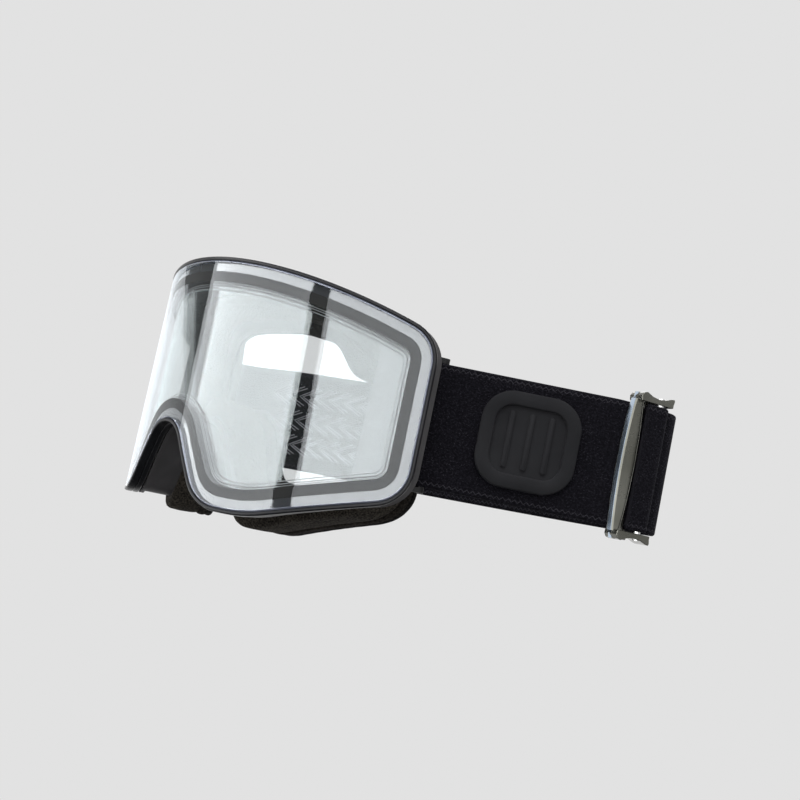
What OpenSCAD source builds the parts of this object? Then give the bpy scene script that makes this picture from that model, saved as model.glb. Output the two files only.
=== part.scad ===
// Ski goggles with a cylindrical clear lens, a soft face frame with layered foam,
// and an elastic strap that lies swept to the wearer's left.
// Millimetres. +Z up, -Y the way the wearer looks, +X the wearer's left.
// The origin is the centre of the face seal.

/* [Lens] */
// Outer radius of the cylindrical outer lens
lens_r = 108; // [106:0.5:110]
// Thickness of the outer lens
outer_lens_t = 1.4; // [1.2:0.1:1.6]
// Thickness of the inner lens
inner_lens_t = 0.8; // [0.6:0.1:1]
// Thickness of the foam gasket between the two lenses
gasket_t = 3.2; // [2.8:0.1:3.6]
// Distance from the lens edge to the gasket
gasket_inset = 4; // [3.5:0.25:4.5]
// Width of the gasket band
gasket_w = 3.8; // [3:0.1:4.5]
// Width of the carrier lip round the lens edge
lip_w = 1.5; // [1.3:0.1:1.8]

/* [Face frame and foam] */
// Thickness of the frame's walls
wall_t = 2; // [1.6:0.1:2.4]
// Width of the flange that carries the foam
rear_flange_w = 4.4; // [4:0.1:5]
// Depth of the base foam in the middle of the forehead
base_foam_t = 14; // [13:0.5:15]
// Depth of the denser middle foam
mid_foam_t = 4; // [3:0.5:5]
// Depth of the fleece liner
fleece_t = 2.5; // [2:0.1:3]

/* [Strap] */
// Width of the elastic strap
strap_w = 44; // [40:0.5:45]
// Thickness of the strap
strap_t = 2; // [1.6:0.1:2.2]
// Height of the middle of the strap above the middle of the lens
strap_z = -1.6; // [-2.5:0.1:-1]
// Length of strap that is turned round the ring and sewn down
sewn_tail = 14; // [12:0.5:14.5]

/* [Buckle and rings] */
// Width of the buckle along the strap
buckle_l = 15; // [14:0.5:16]
// Height of the buckle's end pieces
buckle_end_h = 3.4; // [3:0.1:3.6]
// Radius of the bar that the strap turns round
ring_bar_r = 1.6; // [1.4:0.1:1.7]
// Radius of the hinge pins of the strap rings
pin_r = 1; // [0.9:0.05:1.1]

/* [Hidden] */

$fn = 96;
far = 200;                       // longer than the object, for through cuts
lens_axis = 40;                  // y of the lens cylinder's axis
lens_back = lens_r - outer_lens_t;
gasket_back = lens_back - gasket_t;
inner_back = gasket_back - inner_lens_t;
seat_gap = 0.4;                  // between the lens unit and the frame
seat_r = inner_back - seat_gap;
seat_t = 1.6;
carrier_back = inner_back;
fit_gap = 0.06;                  // running clearance on a hinge pin

// Corners [u, z, radius] of the right half of the lens edge, u measured round the lens
lens_corners = [[50.8, 45.35, 322], [108.3, 26.95, 12.5], [108.3, -29.45, 13],
                [51.8, -45.35, 60], [29.2, -45.35, 20], [8.1, -16.35, 15.6]];
// Corners [x, z, radius] of the right half of the frame's wall and of the foam
wall_corners = [[40, 41, 160], [77, 29, 16], [76, -32, 13],
                [42, -45.6, 14], [26.6, -45.6, 10], [7, -16.2, 12.8]];
foam_corners = [[36, 42, 150], [73.5, 30, 18], [75.8, -36, 14],
                [36, -50.3, 20], [27, -50.3, 8], [7.6, -13.5, 10]];
eye_corners = [[22, 26.5, 30], [40, 23.5, 14], [49.5, 11.5, 6], [62.5, 9.6, 8], [62.5, -17, 14],
               [54, -31, 16], [25, -31.5, 7], [16, -12, 12], [6, -5, 8]];
// The opening is wider at the frame, where the base foam is a narrow ring
base_eye_corners = [[24, 33, 60], [48, 30, 22], [66, 19, 10], [72.5, 14, 8], [72.5, -24, 12],
                    [58, -38, 16], [27, -38.5, 9], [15.6, -11.5, 12], [6, -4.4, 8]];

// Cylinders [y of axis, radius] that bound the frame and the foam towards the face
function rear_surface(y, r) = [y + r, r];
frame_y = -49;                   // y of the frame's rear at the middle
frame_rear = rear_surface(frame_y, 113);
base_rear = rear_surface(frame_y + base_foam_t, 114);
middle_rear = rear_surface(frame_y + base_foam_t + mid_foam_t, 116);
face_rear = rear_surface(frame_y + base_foam_t + mid_foam_t + fleece_t, 117);

// ---- outline helpers ----
function mirrored(half) =
    concat(half, [for (i = [len(half) - 1 : -1 : 0]) [-half[i][0], half[i][1], half[i][2]]]);
function unit(v) = v / norm(v);
function edge_normal(a, b) = let (d = unit([b[0] - a[0], b[1] - a[1]])) [-d[1], d[0]];
function cross2(a, b) = a[0] * b[1] - a[1] * b[0];
// Intersection of the two edges that meet at corner b, both moved out by d
function moved_corner(a, b, c, d) =
    let (n1 = edge_normal(a, b), n2 = edge_normal(b, c), k = 1 + n1 * n2)
    [b[0], b[1]] + d * (n1 + n2) / k;
// A corner is convex where the outline, drawn clockwise, turns right
function is_convex(a, b, c) =
    cross2([b[0] - a[0], b[1] - a[1]], [c[0] - b[0], c[1] - b[1]]) < 0;
function grown(corners, d) = let (n = len(corners))
    [for (i = [0 : n - 1])
        let (a = corners[(i + n - 1) % n], b = corners[i], c = corners[(i + 1) % n],
             p = moved_corner(a, b, c, d))
        [p[0], p[1], max(0.6, b[2] + (is_convex(a, b, c) ? d : -d))]];
// Points along the arc that rounds corner b
function corner_arc(a, b, c, steps) =
    let (p = [b[0], b[1]],
         d1 = unit([b[0] - a[0], b[1] - a[1]]), d2 = unit([c[0] - b[0], c[1] - b[1]]),
         turn = acos(max(-1, min(1, d1 * d2))), side = cross2(d1, d2) < 0 ? -1 : 1,
         reach = b[2] * tan(turn / 2), start = p - d1 * reach,
         centre = start + side * b[2] * [-d1[1], d1[0]],
         a0 = atan2(start[1] - centre[1], start[0] - centre[0]))
    [for (i = [0 : steps]) centre + b[2] * [cos(a0 + side * turn * i / steps),
                                            sin(a0 + side * turn * i / steps)]];
function rounded(corners) = let (n = len(corners))
    [for (i = [0 : n - 1])
        each corner_arc(corners[(i + n - 1) % n], corners[i], corners[(i + 1) % n],
                        corners[i][2] > 100 ? 16 : 9)];
// Lens outline moved out by d, wrapped round the lens at radius r and seen from the front
function lens_outline(d, r = lens_r) =
    [for (p = rounded(grown(mirrored(lens_corners), d)))
        [r * sin(p[0] / lens_r * 180 / PI), p[1]]];
// Edge shared by the gasket, the inner lens and the carrier
function gasket_edge(d = 0) = lens_outline(-gasket_inset - d, lens_back);
function wall_outline(d) = rounded(grown(mirrored(wall_corners), d));
function foam_outline(d) = rounded(grown(mirrored(foam_corners), d));
function eye_outline(d) = rounded(grown(mirrored(eye_corners), d));
function base_eye_outline() = rounded(mirrored(base_eye_corners));

// ---- strap route, in plan ----
strand_angle = 51;               // heading of the near strand, from +X towards +Y
buckle_angle = 80;
fold_angle = 187;
bend_r = 10;
fold_r = 7;
strand_dir = [cos(strand_angle), sin(strand_angle)];
strand_out = [sin(strand_angle), -cos(strand_angle)];
buckle_dir = [cos(buckle_angle), sin(buckle_angle)];
buckle_out = [sin(buckle_angle), -cos(buckle_angle)];
loop_r = ring_bar_r + strap_t / 2 + 0.1;    // from the bar's axis to the strap's middle
hinge_left = [79.8, -16.9];
bar_left = [83.5, -7.5];
hinge_right = [-79.8, -16.9];
bar_right = [-79, -7.1];
strand_start = bar_left + loop_r * strand_out;
strand_l = 61;                   // from the ring to the bend
loop_l = 15;                     // of the strand that belongs to the ring's loop
bend_start = strand_start + strand_l * strand_dir;
bend_centre = bend_start - bend_r * strand_out;
buckle_start = bend_centre + bend_r * buckle_out;
fold_run = 17;                   // straight stretch through the buckle
fold_start = buckle_start + fold_run * buckle_dir;
fold_centre = fold_start - fold_r * buckle_out;
fold_end = fold_centre + fold_r * [sin(fold_angle), -cos(fold_angle)];
buckle_mid = buckle_start + 8 * buckle_dir;
// Hand-chosen points of the strand that crosses behind the goggles
back_route = [[-81.4, -6.3], [-79.6, 0.2], [-74.5, 5.2], [-66, 8], [-52, 12.4], [-39, 18.6],
              [-8, 35.4], [30, 51.6], [70, 62.6], [100, 66.8], fold_end];

function arc(centre, r, a0, a1, steps) =
    [for (i = [0 : steps]) let (a = a0 + (a1 - a0) * i / steps)
        centre + r * [cos(a), sin(a)]];
// Smooth curve through the points
function curve(p, steps) = let (n = len(p))
    concat([for (i = [0 : n - 2], s = [0 : steps - 1])
        let (t = s / steps, a = p[max(0, i - 1)], b = p[i], c = p[i + 1], d = p[min(n - 1, i + 2)])
        0.5 * (2 * b + (c - a) * t + (2 * a - 5 * b + 4 * c - d) * t * t
               + (3 * b - a - 3 * c + d) * t * t * t)], [p[n - 1]]);
function path_normal(p, i) = let (n = len(p), d = unit(p[min(n - 1, i + 1)] - p[max(0, i - 1)]))
    [-d[1], d[0]];
function ribbon(p, t) =
    concat([for (i = [0 : len(p) - 1]) p[i] + t / 2 * path_normal(p, i)],
           [for (i = [len(p) - 1 : -1 : 0]) p[i] - t / 2 * path_normal(p, i)]);

// ---- shared modules ----
module prism(points, y0 = -far, y1 = far)
    translate([0, y1, 0]) rotate([90, 0, 0]) linear_extrude(height = y1 - y0) polygon(points);
module band(outer, inner) difference() {
    prism(outer, -90, 0.5);
    prism(inner);
}
module column(y, r) translate([0, y, -far / 2]) cylinder(r = r, h = far);
module between_radii(r_out, r_in) difference() {
    column(lens_axis, r_out);
    column(lens_axis, r_in);
}
// What lies in front of one rear surface and behind another
module slice_between(front, rear) difference() {
    column(front[0], front[1]);
    column(rear[0], rear[1]);
}
module ribbon_solid(path, t = strap_t, w = strap_w)
    translate([0, 0, strap_z - w / 2]) linear_extrude(height = w) polygon(ribbon(path, t));
module post(at, r, z0, z1) translate([at[0], at[1], z0]) cylinder(r = r, h = z1 - z0, $fn = 48);
module plate(a, b, w, z0, z1) translate([0, 0, z0]) linear_extrude(height = z1 - z0)
    polygon(ribbon([a, b], w));

// ---- lens unit ----
module outer_lens() color("lightgray", 0.35) intersection() {
    between_radii(lens_r, lens_back);
    prism(lens_outline(0), -90, 0);
}
// Thin inner lens with the pressed ridge that stiffens its edge
module inner_lens() color("lightgray", 0.35) {
    ridge_in = gasket_w + 1.2;
    ridge_w = 1.2;
    intersection() {
        between_radii(gasket_back, inner_back);
        prism(gasket_edge(), -90, 0);
    }
    intersection() {
        between_radii(gasket_back + 1.2, gasket_back - 0.2);
        band(gasket_edge(ridge_in), gasket_edge(ridge_in + ridge_w));
    }
}
module lens_gasket() color("dimgray") intersection() {
    between_radii(lens_back, gasket_back);
    band(gasket_edge(), gasket_edge(gasket_w));
}
peg_places = [[34, 41.3], [70, 34.8], [73, -35.8]];
peg_r = 1.2;
peg_l = 4;
// Places in front view of the carrier's pegs, on both sides
module at_pegs() for (p = peg_places, s = [-1, 1])
    translate([s * p[0], lens_axis - sqrt(carrier_back * carrier_back - p[0] * p[0]), p[1]])
        rotate([-90, 0, 0]) children();
module lens_carrier() color([0.12, 0.12, 0.13]) {
    for (r = [lens_back, (lens_back + carrier_back) / 2]) intersection() {
        between_radii(r, r - (lens_back - carrier_back) / 2);
        band(lens_outline(lip_w, r), gasket_edge());
    }
    intersection() {
        between_radii(lens_r + 0.3, lens_back - 0.5);
        band(lens_outline(lip_w), lens_outline(0));
    }
    at_pegs() translate([0, 0, -1]) cylinder(r = peg_r, h = peg_l + 1, $fn = 32);
}

// ---- frame ----
vent_w = 17;
vent_d = 4.4;                    // depth of a vent window, towards the face
vent_places = [-48, -24, 0, 24, 48];
side_vent_x = 56;
module vent_windows() intersection() {
    between_radii(seat_r - seat_t - 1, seat_r - seat_t - 1 - vent_d);
    union() {
        for (x = vent_places) translate([x - vent_w / 2, -far, 20]) cube([vent_w, far, 40]);
        for (s = [-1, 1]) translate([s * side_vent_x - 7, -far, -60]) cube([14, far, 30]);
    }
}
lug_z = [[-20, -12], [9, 17]];
module hinge_lugs(side, hinge) for (z = lug_z) difference() {
    union() {
        post(hinge, 2.1, strap_z + z[0], strap_z + z[1]);
        translate([side > 0 ? hinge[0] - 4.6 : hinge[0] - 0.4, hinge[1] - 5.4, strap_z + z[0]])
            cube([5, 7.5, z[1] - z[0]]);
    }
    post(hinge, pin_r, -far / 2, far / 2);
}
module frame_shell() color([0.09, 0.09, 0.1]) {
    difference() {
        union() {
            intersection() {
                between_radii(seat_r, seat_r - seat_t);
                band(lens_outline(lip_w - 0.3, seat_r), wall_outline(-wall_t));
            }
            intersection() {
                slice_between([lens_axis, seat_r - 0.4], frame_rear);
                band(wall_outline(0), wall_outline(-wall_t));
            }
            intersection() {
                slice_between([frame_rear[0], frame_rear[1] + 1.8], frame_rear);
                band(wall_outline(0), wall_outline(-rear_flange_w));
            }
        }
        vent_windows();
        at_pegs() translate([0, 0, -peg_l]) cylinder(r = peg_r + 0.15, h = far, $fn = 32);
    }
    hinge_lugs(1, hinge_left);
    hinge_lugs(-1, hinge_right);
}
// Strips of open-cell foam behind the vent windows
module vent_strip() intersection() {
    slice_between([lens_axis, seat_r - seat_t - 0.6], [frame_rear[0], frame_rear[1] + 2.2]);
    band(wall_outline(-wall_t - 0.1), wall_outline(-wall_t - 2.1));
    children();
}
module vent_foam_top() color([0.2, 0.2, 0.2]) vent_strip()
    translate([-60, -far / 2, 15]) cube([120, far, far]);
module vent_foam_side(s) color([0.2, 0.2, 0.2]) vent_strip()
    translate([s > 0 ? 44 : -68, -far / 2, -60]) cube([24, far, 32]);

// ---- face foam ----
module foam_layer(front, rear, opening) intersection() {
    slice_between(front, rear);
    difference() {
        prism(foam_outline(0), -90, 40);
        prism(opening);
    }
}
module face_foam_base() color([0.13, 0.13, 0.13]) foam_layer(frame_rear, base_rear, base_eye_outline());
module face_foam_middle() color([0.1, 0.1, 0.1]) foam_layer(base_rear, middle_rear, eye_outline(1.5));
module face_fleece() color([0.16, 0.16, 0.16]) foam_layer(middle_rear, face_rear, eye_outline(0));

// ---- strap rings ----
ring_top = strap_z + strap_w / 2 + 0.4;
ring_low = strap_z - strap_w / 2 - 0.4;
arm_h = 1.8;
module strap_ring(hinge, bar) color([0.14, 0.14, 0.15]) {
    post(bar, ring_bar_r, ring_low - arm_h, ring_top + arm_h);
    difference() {
        for (z = [ring_low - arm_h, ring_top]) union() {
            plate(hinge, bar, 3.6, z, z + arm_h);
            post(hinge, 2.2, z, z + arm_h);
            post(bar, 1.8, z, z + arm_h);
        }
        post(hinge, pin_r + fit_gap, -far / 2, far / 2);
    }
}
module ring_pin(hinge) color("silver") post(hinge, pin_r, ring_low - arm_h - 0.4, ring_top + arm_h + 0.4);

// ---- strap ----
module strap_loop_left() color([0.1, 0.1, 0.11]) {
    tail_start = bar_left - loop_r * strand_out;
    tail_mid = tail_start + 0.35 * sewn_tail * strand_dir + 0.6 * strand_out;
    tail_end = strand_start + sewn_tail * strand_dir - (strap_t + 0.15) * strand_out;
    ribbon_solid(concat([strand_start + loop_l * strand_dir],
        arc(bar_left, loop_r, strand_angle - 90, strand_angle - 270, 20),
        [tail_mid], [tail_end - 0.35 * sewn_tail * strand_dir, tail_end]));
}
module strap_front() color([0.1, 0.1, 0.11])
    ribbon_solid([strand_start + (loop_l + 0.1) * strand_dir, bend_start]);
module strap_fold() color([0.1, 0.1, 0.11])
    ribbon_solid(concat([bend_start + 0.2 * strand_dir],
        arc(bend_centre, bend_r, strand_angle - 88, buckle_angle - 90, 6),
        arc(fold_centre, fold_r, buckle_angle - 90, fold_angle - 91, 14)));
back_points = curve(back_route, 6);
back_first = 12;                 // of back_points that belong to the right-hand loop
module strap_back() color([0.1, 0.1, 0.11])
    ribbon_solid([for (i = [back_first : len(back_points) - 1]) back_points[i]]);
module strap_loop_right() color([0.1, 0.1, 0.11]) {
    lead = [for (i = [back_first : -1 : 0]) back_points[i]];
    turn = atan2(back_route[0][1] - bar_right[1], back_route[0][0] - bar_right[0]);
    ribbon_solid(concat([for (i = [0 : len(lead) - 2]) lead[i] + (i == 0 ? [-0.1, -0.05] : [0, 0])],
        arc(bar_right, loop_r, turn, turn + 190, 20), [bar_right + [2.2, 5.2]]));
}
// End of the webbing, turned round the buckle's rear bar and sewn to itself
tail_bar = [2.4, 4.4];           // along the strap from the buckle's middle, and out from it
tail_r = 2.3;
tail_t = 1.6;
function buckle_point(s, h) = buckle_mid + s * buckle_dir + h * buckle_out;
module strap_tail() color([0.1, 0.1, 0.11]) {
    top = tail_bar[1] + tail_r;
    ribbon_solid(concat([buckle_point(-4.4, top)], [buckle_point(tail_bar[0], top)],
        arc(buckle_point(tail_bar[0], tail_bar[1]), tail_r, buckle_angle - 80, buckle_angle + 82, 12),
        [buckle_point(-3, tail_bar[1] - tail_r + 0.1)]), tail_t);
}
// Silicone grid on the inner face of the strap, towards the head
grip_first = 20;
grip_last = 46;
grip_rows = [-12, -4, 4, 12];
module grip_strip(first, last, z0, z1) translate([0, 0, strap_z + z0])
    linear_extrude(height = z1 - z0)
        polygon(ribbon([for (i = [first : last])
            back_points[i] - (strap_t / 2 + 0.2) * path_normal(back_points, i)], 0.4));
module strap_grip_print() color("gray") {
    for (z = grip_rows) grip_strip(grip_first, grip_last, z - 1, z + 1);
    for (i = [grip_first, grip_last - 1]) grip_strip(i, i + 1, grip_rows[0], grip_rows[3]);
}

// ---- badges ----
badge_l = 35;
badge_h = 34;
module badge_shape(d) {
    r = 11 + d;
    for (x = [-1, 1], z = [-1, 1])
        translate([x * (badge_l / 2 + d - r), z * (badge_h / 2 + d - r)]) circle(r = r);
    square([badge_l + 2 * d, badge_h + 2 * d - 2 * r], center = true);
    square([badge_l + 2 * d - 2 * r, badge_h + 2 * d], center = true);
}
module badge() {
    linear_extrude(height = 2) difference() {
        badge_shape(0);
        badge_shape(-5);
    }
    linear_extrude(height = 0.8) badge_shape(-4.8);
    for (x = [-7, 0, 7]) translate([x, 0, 0.7]) linear_extrude(height = 0.9)
        square([2, badge_h - 14], center = true);
}
module badge_at(point, heading) translate([point[0], point[1], strap_z + 0.4])
    rotate([0, 0, heading]) rotate([90, 0, 0]) translate([0, 0, strap_t / 2]) badge();
module badge_left() color([0.25, 0.26, 0.27]) badge_at(strand_start + 34 * strand_dir, strand_angle);
module badge_right() color([0.25, 0.26, 0.27]) {
    a = back_route[6];
    b = back_route[7];
    badge_at(back_points[39], atan2(b[1] - a[1], b[0] - a[0]) + 180);
}

// ---- buckle ----
buckle_top = strap_z + strap_w / 2 + 0.7;
buckle_low = strap_z - strap_w / 2 - 0.7;
module buckle_frame_of(s0, s1, h0, h1, z0, z1) translate([0, 0, z0]) linear_extrude(height = z1 - z0)
    polygon([buckle_point(s0, h0), buckle_point(s1, h0), buckle_point(s1, h1), buckle_point(s0, h1)]);
crossbar_r = 1.2;
module crossbar(margin) post(buckle_point(tail_bar[0], tail_bar[1]), crossbar_r,
    buckle_low - margin, buckle_top + margin);
module buckle() color([0.42, 0.42, 0.4]) difference() {
    union() {
        // front bar, a ridge that swells towards its middle
        translate([0, 0, buckle_low - buckle_end_h])
            linear_extrude(height = buckle_top - buckle_low + 2 * buckle_end_h)
                polygon([buckle_point(-8.6, 1.6), buckle_point(-4.6, 1.6), buckle_point(-4.2, 3.4),
                         buckle_point(-6.6, 4.8), buckle_point(-9, 3.2)]);
        for (z = [buckle_low - buckle_end_h, buckle_top]) {
            // end piece, and its foot that holds the rear bar
            buckle_frame_of(-8.6, buckle_l / 2 - 0.6, -1.2, tail_bar[1] + crossbar_r + 0.5, z, z + buckle_end_h);
            buckle_frame_of(-2, 1.6, -3, 0, z, z + buckle_end_h);
        }
        // rear bar behind the strap
        buckle_frame_of(-2, 1.6, -3, -1.5, buckle_low - 0.2, buckle_top + 0.2);
    }
    crossbar(buckle_end_h - 1);
}
module buckle_crossbar() color("silver") crossbar(buckle_end_h - 1);

outer_lens();
inner_lens();
lens_gasket();
lens_carrier();
frame_shell();
vent_foam_top();
vent_foam_side(1);  // vent_foam_left
vent_foam_side(-1);  // vent_foam_right
face_foam_base();
face_foam_middle();
face_fleece();
ring_pin(hinge_left);  // ring_pin_left
ring_pin(hinge_right);  // ring_pin_right
strap_ring(hinge_left, bar_left);  // strap_ring_left
strap_ring(hinge_right, bar_right);  // strap_ring_right
strap_loop_left();
strap_loop_right();
strap_front();
strap_back();
strap_fold();
strap_tail();
strap_grip_print();
badge_left();
badge_right();
buckle();
buckle_crossbar();
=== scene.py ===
"""Ski goggles: clear cylindrical lens, soft frame with layered foam, hinged rings and an elastic strap."""
import math

import bmesh
import bpy
import numpy as np
from mathutils import Matrix, Vector
from mathutils.geometry import delaunay_2d_cdt


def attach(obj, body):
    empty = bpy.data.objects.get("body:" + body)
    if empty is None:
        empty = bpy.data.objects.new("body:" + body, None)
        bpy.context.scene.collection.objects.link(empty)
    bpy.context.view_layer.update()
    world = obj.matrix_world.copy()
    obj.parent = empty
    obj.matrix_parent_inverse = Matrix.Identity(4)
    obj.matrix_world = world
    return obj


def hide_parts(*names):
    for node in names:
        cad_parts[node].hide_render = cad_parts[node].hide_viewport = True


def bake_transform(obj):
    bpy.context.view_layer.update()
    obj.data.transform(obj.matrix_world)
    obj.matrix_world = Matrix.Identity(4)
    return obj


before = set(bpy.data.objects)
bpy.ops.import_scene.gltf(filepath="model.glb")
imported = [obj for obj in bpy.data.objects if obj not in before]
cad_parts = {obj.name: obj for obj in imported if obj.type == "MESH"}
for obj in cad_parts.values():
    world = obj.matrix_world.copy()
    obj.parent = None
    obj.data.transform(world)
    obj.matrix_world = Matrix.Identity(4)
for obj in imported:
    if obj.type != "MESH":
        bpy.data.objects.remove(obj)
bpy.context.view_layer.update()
MM = 0.001

# ---------------------------------------------------------------- dimensions, in millimetres, as in part.scad
LENS_R = 108.0
LENS_AXIS_Y = 40.0
LENS_T = 1.4
INNER_LENS_T = 0.8
LENS_GAP = 3.2
STRAP_W = 44.0
STRAP_T = 2.0
STRAP_Z = -1.6
EDGE_R = 1.0             # rounding of the webbing's long edges
FRAME_Y = -49.0
BASE_FOAM_T, MIDDLE_FOAM_T, FLEECE_T = 14, 4, 2.5
BASE_Y = FRAME_Y + BASE_FOAM_T
MIDDLE_Y = BASE_Y + MIDDLE_FOAM_T
FACE_Y = MIDDLE_Y + FLEECE_T
# Half outlines: corners (across, up, radius) from the top to the nose, on the wearer's left
LENS_HALF = [(50.8, 45.35, 322), (108.3, 26.95, 12.5), (108.3, -29.45, 13),
             (51.8, -45.35, 60), (29.2, -45.35, 20), (8.1, -16.35, 15.6)]
FOAM_HALF = [(36, 42, 150), (73.5, 30, 18), (75.8, -36, 14), (36, -50.3, 20), (27, -50.3, 8), (7.6, -13.5, 10)]
EYE_HALF = [(22, 26.5, 30), (40, 23.5, 14), (49.5, 11.5, 6), (62.5, 9.6, 8), (62.5, -17, 14),
            (54, -31, 16), (25, -31.5, 7), (16, -12, 12), (6, -5, 8)]
BASE_EYE_HALF = [(24, 33, 60), (48, 30, 22), (66, 19, 10), (72.5, 14, 8), (72.5, -24, 12),
                 (58, -38, 16), (27, -38.5, 9), (15.6, -11.5, 12), (6, -4.4, 8)]
SIX = (0, 1, 2, 3, 4, 5)
EYE_ANCHORS = (0, 3, 4, 5, 6, 8)
HALF_SPANS = [24, 24, 22, 10, 20]
SPANS = HALF_SPANS + [10] + HALF_SPANS[::-1] + [40]


# ---------------------------------------------------------------- outlines
def unit(v):
    v = np.asarray(v, float)
    return v / np.linalg.norm(v)


def mirrored(half):
    return list(half) + [(-x, z, r) for x, z, r in reversed(half)]


def grown(corners, d):
    """The corners of the outline moved out by d, with their radii."""
    out = []
    for i, b in enumerate(corners):
        a, c = corners[i - 1], corners[(i + 1) % len(corners)]
        d1, d2 = unit(np.subtract(b[:2], a[:2])), unit(np.subtract(c[:2], b[:2]))
        n1, n2 = np.array([-d1[1], d1[0]]), np.array([-d2[1], d2[0]])
        p = np.array(b[:2]) + d * (n1 + n2) / (1 + n1 @ n2)
        convex = d1[0] * d2[1] - d1[1] * d2[0] < 0
        out.append((p[0], p[1], max(0.6, b[2] + (d if convex else -d))))
    return out


def corner_arc(a, b, c, steps=24):
    d1, d2 = unit(np.subtract(b[:2], a[:2])), unit(np.subtract(c[:2], b[:2]))
    turn = math.acos(max(-1.0, min(1.0, float(d1 @ d2))))
    side = -1 if d1[0] * d2[1] - d1[1] * d2[0] < 0 else 1
    start = np.array(b[:2]) - d1 * b[2] * math.tan(turn / 2)
    centre = start + side * b[2] * np.array([-d1[1], d1[0]])
    a0 = math.atan2(*(start - centre)[::-1])
    angles = a0 + side * turn * np.arange(steps + 1) / steps
    return centre + b[2] * np.stack([np.cos(angles), np.sin(angles)], 1)


def resampled(points, count):
    """count points along the polyline, its last point left out."""
    steps = np.linalg.norm(np.diff(points, axis=0), axis=1)
    along = np.concatenate([[0], np.cumsum(steps)])
    at = np.linspace(0, along[-1], count, endpoint=False)
    return np.stack([np.interp(at, along, points[:, k]) for k in range(2)], 1)


def ring(half, d=0.0, anchors=SIX):
    """A closed outline with the same number of points between the same corners, whatever its shape."""
    corners = grown(mirrored(half), d)
    n = len(corners)
    dense, mids = [], []
    for i in range(n):
        arc = corner_arc(corners[i - 1], corners[i], corners[(i + 1) % n])
        mids.append(len(dense) + len(arc) // 2)
        dense.extend(arc)
    picks = [mids[i] for i in anchors] + [mids[n - 1 - i] for i in reversed(anchors)]
    dense = np.array(dense)
    out = []
    for k, count in enumerate(SPANS):
        i, j = picks[k], picks[(k + 1) % len(picks)]
        span = dense[i:j + 1] if j > i else np.concatenate([dense[i:], dense[:j + 1]])
        out.append(resampled(span, count))
    return np.concatenate(out)


def on_lens(outline, r):
    """Wraps an outline (arc length, height) round the lens's axis at radius r."""
    a = outline[:, 0] / LENS_R
    return np.stack([r * np.sin(a), LENS_AXIS_Y - r * np.cos(a), outline[:, 1]], 1)


def on_face(outline, y0, r):
    """Places an outline (x, z) on a cylinder whose front line is at y0."""
    x = outline[:, 0]
    return np.stack([x, y0 + r - np.sqrt(r * r - x * x), outline[:, 1]], 1)


# ---------------------------------------------------------------- mesh helpers
def new_object(name, verts, faces, uv=None):
    mesh = bpy.data.meshes.new(name)
    mesh.from_pydata([tuple(float(c) * MM for c in v) for v in verts], [], faces)
    mesh.validate()
    mesh.polygons.foreach_set("use_smooth", [True] * len(mesh.polygons))
    if uv is not None:
        layer = mesh.uv_layers.new(name="UVMap")
        flat = np.array([uv[l.vertex_index] for l in mesh.loops], float).ravel()
        layer.data.foreach_set("uv", flat)
    mesh.update()
    obj = bpy.data.objects.new(name, mesh)
    bpy.context.scene.collection.objects.link(obj)
    return obj


def sharpen(obj, degrees=35):
    """Marks edges sharper than the angle, so that smooth shading stops there."""
    obj.data.set_sharp_from_angle(angle=math.radians(degrees))
    return obj


def loft(name, loops, closed=True):
    """Joins closed loops of equal length with quads; closed joins the last to the first."""
    n = len(loops[0])
    verts = np.concatenate(loops)
    faces = []
    rows = len(loops)
    for k in range(rows if closed else rows - 1):
        a, b = k * n, ((k + 1) % rows) * n
        faces += [(a + i, b + i, b + (i + 1) % n, a + (i + 1) % n) for i in range(n)]
    return new_object(name, verts, faces)


def turned_out(obj):
    """Points every face outwards."""
    bm = bmesh.new()
    bm.from_mesh(obj.data)
    bmesh.ops.recalc_face_normals(bm, faces=bm.faces)
    bm.to_mesh(obj.data)
    bm.free()
    return obj


def filled(outline, spacing):
    """Points and triangles that fill a closed outline; the outline's points come first and stay."""
    lo, hi = outline.min(0), outline.max(0)
    xs = np.arange(lo[0] + spacing / 2, hi[0], spacing)
    zs = np.arange(lo[1] + spacing / 2, hi[1], spacing)
    grid = np.array([(x, z) for x in xs for z in zs])
    n = len(outline)
    nxt = np.roll(outline, -1, 0)
    inside = np.zeros(len(grid), bool)
    near = np.full(len(grid), 1e9)
    for a, b in zip(outline, nxt):
        crosses = (a[1] > grid[:, 1]) != (b[1] > grid[:, 1])
        with np.errstate(divide="ignore", invalid="ignore"):
            at = (b[0] - a[0]) * (grid[:, 1] - a[1]) / (b[1] - a[1]) + a[0]
        inside ^= crosses & (grid[:, 0] < at)
        e = b - a
        t = np.clip(((grid - a) @ e) / (e @ e), 0, 1)
        near = np.minimum(near, np.linalg.norm(grid - (a + t[:, None] * e), axis=1))
    grid = grid[inside & (near > 0.45 * spacing)]
    points = [Vector(p) for p in np.concatenate([outline, grid])]
    edges = [(i, (i + 1) % n) for i in range(n)]
    verts, _, faces, origin, _, _ = delaunay_2d_cdt(points, edges, [], 1, 1e-6)
    order = {}
    for new, olds in enumerate(origin):
        for old in olds:
            order[new] = old
    tris = [tuple(order[v] for v in f) for f in faces]
    return np.array([tuple(p) for p in points]), tris


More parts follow.
